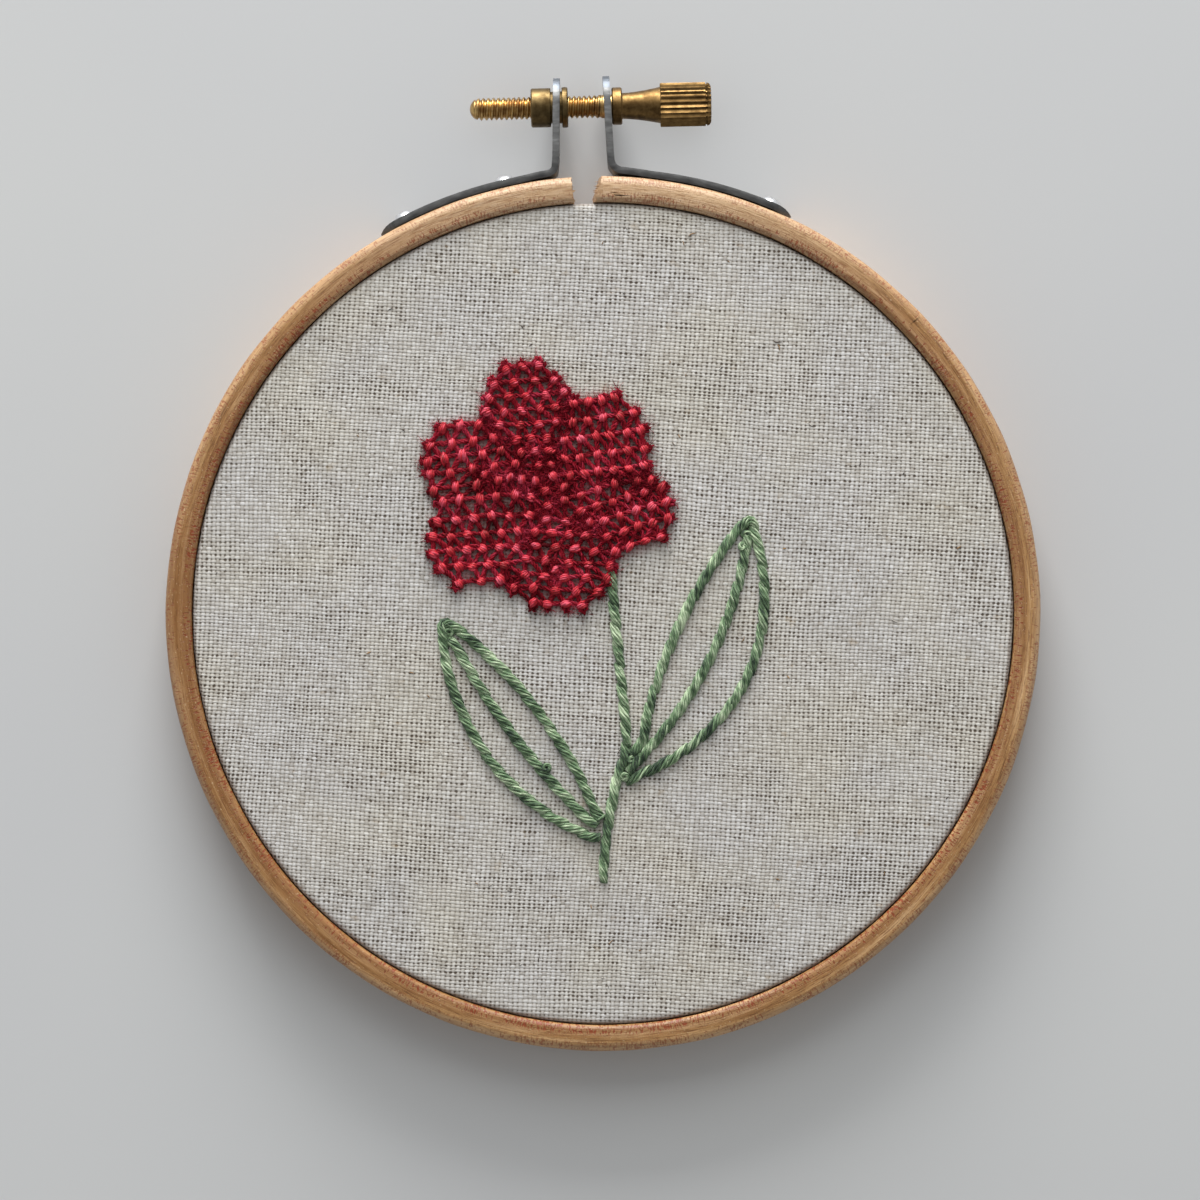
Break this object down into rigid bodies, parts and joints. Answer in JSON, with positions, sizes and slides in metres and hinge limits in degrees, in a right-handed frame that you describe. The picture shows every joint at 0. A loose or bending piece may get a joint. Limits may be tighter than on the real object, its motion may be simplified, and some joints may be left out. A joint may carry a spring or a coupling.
{
  "type": "embroidered linen in wooden embroidery hoop",
  "caption": "Round wooden embroidery hoop with a brass thumbscrew clasp, holding stretched linen stitched with a red flower and green leaves.",
  "frame": {"origin": "middle of the whole outline, on the surface that the hoop lies on", "axes": "+Z out of the stitched face, +Y towards the clasp, +X to the right with the clasp at the top"},
  "size_m": [0.1096, 0.1225, 0.0089],
  "materials": {
    "beech": "bare, lightly sanded beech",
    "linen": "plain-woven natural linen, unbleached",
    "dark_steel": "dark phosphated strip, bright where sheared",
    "aluminium": "bright pressed rivet heads",
    "brass": "turned and knurled, slightly tarnished",
    "red_thread": "stranded cotton, two reds",
    "green_thread": "variegated stranded cotton"
  },
  "bodies": {
    "hoop": {"outer_ring": "beech", "inner_ring": "beech", "linen": "linen", "left_strip": "dark_steel", "right_strip": "dark_steel", "left_rivet_1": "aluminium", "left_rivet_2": "aluminium", "right_rivet_1": "aluminium", "nut": "brass", "flower": "red_thread", "stem": "green_thread", "left_leaf_outline": "green_thread", "left_leaf_midrib": "green_thread", "right_leaf_outline": "green_thread", "right_leaf_midrib": "green_thread"},
    "thumbscrew": {"thumbscrew": "brass"}
  },
  "joints": [
    {"name": "thumbscrew_turn", "type": "hinge", "parent": "hoop", "child": "thumbscrew", "pos_m": [-0.00279, 0.05739, 0.004], "axis": [0.9997, 0.0236, 0], "continuous": true}
  ]
}
